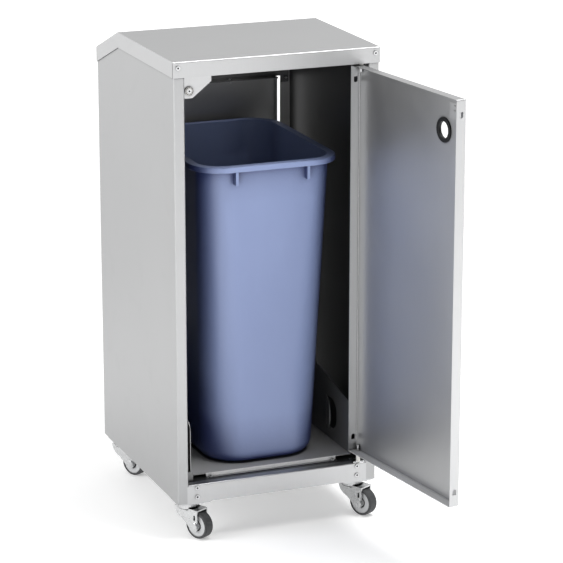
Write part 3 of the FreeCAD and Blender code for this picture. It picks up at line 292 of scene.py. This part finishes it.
def white_nylon():
    """Natural nylon, slightly uneven in tone, with turning marks."""
    nylon = Finish("white_nylon")
    turned = nylon.noise(0.0004, stretch=(6, 6, 1))
    tone = nylon.noise(0.004)
    return nylon.wear(
        Base_Color=nylon.blend(tone, (0.66, 0.65, 0.61), (0.78, 0.77, 0.74)),
        Roughness=0.38 + turned * 0.12,
        Normal=nylon.relief(turned, 0.00002),
    )


def nickel():
    """The catch magnet's nickel skin, with faint rubbed patches and painted shade in its grooves and corners.
    """
    skin = Finish("nickel_skin")
    rubbed = skin.noise(0.003, detail=4.0)
    # Painted shade in the grooves and corners
    groove_shade = skin.ramp(skin.open_air(GROOVE_SHADE_REACH), *GROOVE_SHADE_STOPS)
    tone = skin.blend(rubbed, (0.36, 0.355, 0.345), (0.5, 0.495, 0.48))
    return skin.wear(
        Base_Color=skin.blend(groove_shade, (0.02, 0.02, 0.02), tone),
        Metallic=1.0,
        Roughness=0.2 + rubbed * 0.16,
        Normal=skin.relief(rubbed, 0.000012),
    )


def wheel_grey():
    """The wheel's grey plastic middle, with a fine grain, some dust and painted shade in its grooves."""
    plastic = Finish("grey_wheel_plastic")
    grain = plastic.noise(0.0008)
    dust = plastic.noise(0.008, detail=4.0)
    # Painted shade in the grooves
    groove_shade = plastic.ramp(plastic.open_air(GROOVE_SHADE_REACH), *GROOVE_SHADE_STOPS)
    tone = plastic.blend(dust * 0.7 + grain * 0.3, (0.46, 0.465, 0.475), (0.58, 0.585, 0.595))
    return plastic.wear(
        Base_Color=plastic.blend(groove_shade, GROOVE_SHADE_TONE, tone),
        Roughness=0.42 + grain * 0.1 + dust * 0.1,
        Normal=plastic.relief(grain, 0.00003),
    )


def tyre_rubber():
    """Dark grey rubber: a matt, slightly rough skin with pale dust rolled into it."""
    rubber = Finish("dark_tyre_rubber")
    grit = rubber.noise(0.0007, detail=3.0)
    dust = rubber.ramp(rubber.noise(0.006, detail=5.0), (0.45, 0.0), (0.8, 1.0))
    return rubber.wear(
        Base_Color=rubber.blend(dust * 0.6 + grit * 0.4, (0.035, 0.036, 0.038), (0.085, 0.086, 0.09)),
        Roughness=0.55 + grit * 0.15 + dust * 0.15,
        Normal=rubber.relief(grit, 0.00005),
    )


FINISHES = {
    "satin_steel": satin_steel("satin_steel_sheet"),
    "zinc_steel": bright_zinc(),
    "black_plastic": black_plastic(),
    "nylon": white_nylon(),
    "magnet": nickel(),
    "blue_plastic": blue_plastic(),
    "wheel_grey": wheel_grey(),
    "tyre_rubber": tyre_rubber(),
}
# The sides, the lid and the door are the one steel painted darker by their light share, as painted shade for
# how light falls on each
SIDE_STEEL = satin_steel("side_steel_sheet", light=0.79, inside_shade=0.8, matt=[REAR_FLANGE])
NODE_FINISHES = {
    "left_side_panel": SIDE_STEEL,
    "right_side_panel": SIDE_STEEL,
    "back_panel": satin_steel("back_steel_sheet", inside_shade=0.1, matt=[BACK_LIP]),
    "rear_top_rail": satin_steel("rail_steel_sheet", matt=[RAIL_REAR]),
    "base_pan": satin_steel("base_steel_sheet", seam_shade_closed=0.0),
    "lid": satin_steel("lid_steel_sheet", light=0.95, seam_shade_closed=0.0),
    "door_panel": satin_steel("door_steel_sheet", light=0.94, matt=[DOOR_FOOT], fold_shade_kept=0.4),
    "catch_gusset": satin_steel("gusset_steel_sheet", inside_shade=0.0, seam_shade_closed=0.0),
    "door_strike": satin_steel("strike_steel_sheet", seam_shade_closed=0.0),
    "bin_tray": satin_steel(
        "tray_steel_sheet", inside_shade=0.3, roughness=0.4, metallic=0.9, matt=[TRAY_FLOOR, TRAY_LIP]
    ),
}


def finish_nodes():
    """Gives each node its own finish, or the one of its material slot in the record."""
    for part in frame["record"]["subparts"]:
        finish = NODE_FINISHES.get(part["node"], FINISHES[part["material_slot"]])
        for slot in nodes[part["node"]].material_slots:
            slot.material = finish


# The floor glows by how far back it lies, over a span in metres
FLOOR_HALF = 30.0
FLOOR_SPAN = (-1.5, 5.0)
FLOOR_GLOW = ((0.06, 0.96), (0.155, 0.27), (0.36, 0.25), (0.5, 0.21), (0.93, 0.7))
FLOOR_STRENGTH = 1.2

# The room's light before and behind the cabinet, and how far a direction leans to either side for all of it
ROOM_FRONT = 0.22
ROOM_BACK = 0.85
ROOM_TURN = 0.6

# Soft boxes: name, place, width, height and watts
SOFT_BOXES = (
    ("front_box", (0.1, -4.2, 2.0), 1.8, 1.4, 7),
    ("overhead_box", (1.0, -0.75, 3.2), 1.6, 1.6, 75),
    ("left_box", (-3.5, 0.0, 1.6), 1.6, 1.6, 75),
)
LIGHT_AIM = (0.0, 0.0, 0.45)


def floor():
    """A plain pale studio floor that glows a little, so that its shadows stay light."""
    paint = Finish("studio_floor")
    mottle = paint.noise(0.4)
    span = {"Value": paint.along("Y"), "From Min": FLOOR_SPAN[0], "From Max": FLOOR_SPAN[1]}
    paint.wear(
        Base_Color=paint.blend(mottle, (0.86, 0.86, 0.86), (0.9, 0.9, 0.9)),
        Roughness=0.8 + mottle * 0.1,
        Emission_Color=paint.ramp(paint.node("ShaderNodeMapRange", {}, span), *FLOOR_GLOW),
        Emission_Strength=FLOOR_STRENGTH,
    )
    mesh = bpy.data.meshes.new("studio_floor")
    corners = [(x * FLOOR_HALF, y * FLOOR_HALF, 0) for x, y in ((-1, -1), (1, -1), (1, 1), (-1, 1))]
    mesh.from_pydata(corners, [], [(0, 1, 2, 3)])
    mesh.materials.append(paint.material)
    ground = bpy.data.objects.new("studio_floor", mesh)
    bpy.context.scene.collection.objects.link(ground)


def softbox(name, place, width, height, watts):
    """A large soft light at place that points at about the middle of the cabinet."""
    light = bpy.data.lights.new(name, "AREA")
    light.shape = "RECTANGLE"
    light.size = width
    light.size_y = height
    light.energy = watts
    box = bpy.data.objects.new(name, light)
    box.location = place
    box.rotation_mode = "QUATERNION"
    box.rotation_quaternion = (Vector(LIGHT_AIM) - Vector(place)).to_track_quat("-Z", "Y")
    bpy.context.scene.collection.objects.link(box)


def studio_light():
    """A pale room, dimmer behind the camera, and three large boxes: in front, overhead and on the left."""
    world = bpy.data.worlds.new("pale_room")
    world.use_nodes = True
    room = Mixture(world.node_tree)
    direction = room.node("ShaderNodeTexCoord", output="Generated")
    backward = room.node("ShaderNodeSeparateXYZ", {}, {"Vector": direction}, output="Y")
    turn = {"From Min": -ROOM_TURN, "From Max": ROOM_TURN, "To Min": ROOM_FRONT, "To Max": ROOM_BACK}
    glow = room.node("ShaderNodeMapRange", {"interpolation_type": "SMOOTHSTEP"}, {"Value": backward, **turn})
    room.feed(world.node_tree.nodes["Background"].inputs["Strength"], glow)
    room.feed(world.node_tree.nodes["Background"].inputs["Color"], (1.0, 1.0, 1.0, 1.0))
    bpy.context.scene.world = world
    for box in SOFT_BOXES:
        softbox(*box)


CAMERA_PLACE = (-1.691, -4.4813, 1.778)
CAMERA_YAW = math.radians(21.68)
CAMERA_PITCH = math.radians(15.98)
SENSOR = 36.0
IMAGE_SIDE = 563
FOCAL_PIXELS = 2719.6


def camera():
    """The photograph's viewing angle: a long lens, slightly above and to the left of the cabinet."""
    lens = bpy.data.cameras.new("camera")
    lens.sensor_width = SENSOR
    lens.lens = SENSOR * FOCAL_PIXELS / IMAGE_SIDE
    eye = bpy.data.objects.new("camera", lens)
    eye.location = CAMERA_PLACE
    eye.rotation_euler = (math.pi / 2 - CAMERA_PITCH, 0.0, -CAMERA_YAW)
    bpy.context.scene.collection.objects.link(eye)
    bpy.context.scene.camera = eye


finish_nodes()
floor()
studio_light()
camera()
bpy.context.scene.view_settings.view_transform = "Standard"
